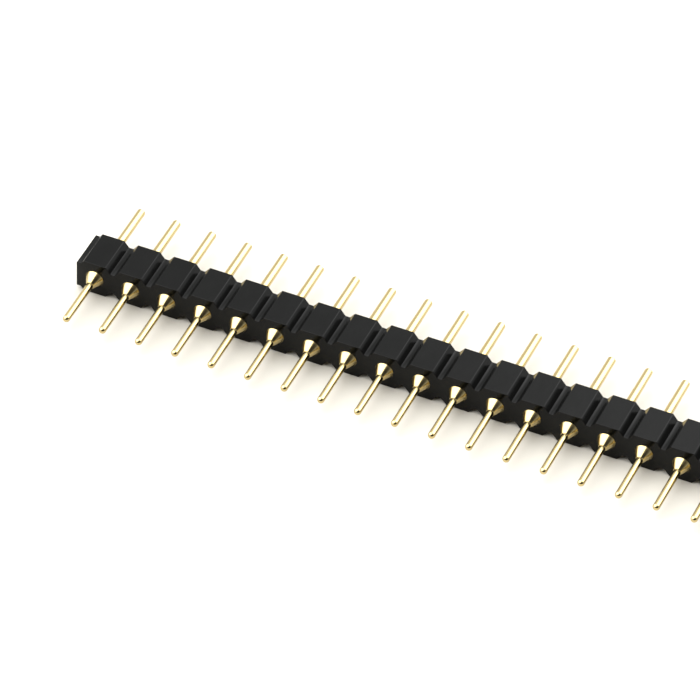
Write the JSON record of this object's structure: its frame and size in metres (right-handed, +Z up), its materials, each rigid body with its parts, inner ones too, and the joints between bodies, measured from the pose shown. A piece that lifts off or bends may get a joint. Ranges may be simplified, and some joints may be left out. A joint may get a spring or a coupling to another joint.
{
  "type": "turned-pin header strip",
  "caption": "Single-row breakaway strip of gold-plated turned pins with conical shoulders, in a black moulding of chamfered blocks, lying on its side.",
  "frame": {"origin": "centre of the strip's footprint, on the surface that it lies on", "axes": "+X along the row, +Y along the pins, from the coned near ends towards the plain far ends, +Z up from the surface"},
  "size_m": [0.1016, 0.0116, 0.0025],
  "materials": {
    "insulator": "semi-gloss moulded black",
    "pins": "turned brass with pale gold plating"
  },
  "bodies": {
    "root": {"insulator": "insulator", "pin_01": "pins", "pin_02": "pins", "pin_03": "pins", "pin_04": "pins", "pin_05": "pins", "pin_06": "pins", "pin_07": "pins", "pin_08": "pins", "pin_09": "pins", "pin_10": "pins", "pin_11": "pins", "pin_12": "pins", "pin_13": "pins", "pin_14": "pins", "pin_15": "pins", "pin_16": "pins", "pin_17": "pins", "pin_18": "pins", "pin_19": "pins", "pin_20": "pins", "pin_21": "pins", "pin_22": "pins", "pin_23": "pins", "pin_24": "pins", "pin_25": "pins", "pin_26": "pins", "pin_27": "pins", "pin_28": "pins", "pin_29": "pins", "pin_30": "pins", "pin_31": "pins", "pin_32": "pins", "pin_33": "pins", "pin_34": "pins", "pin_35": "pins", "pin_36": "pins", "pin_37": "pins", "pin_38": "pins", "pin_39": "pins", "pin_40": "pins"}
  },
  "joints": []
}
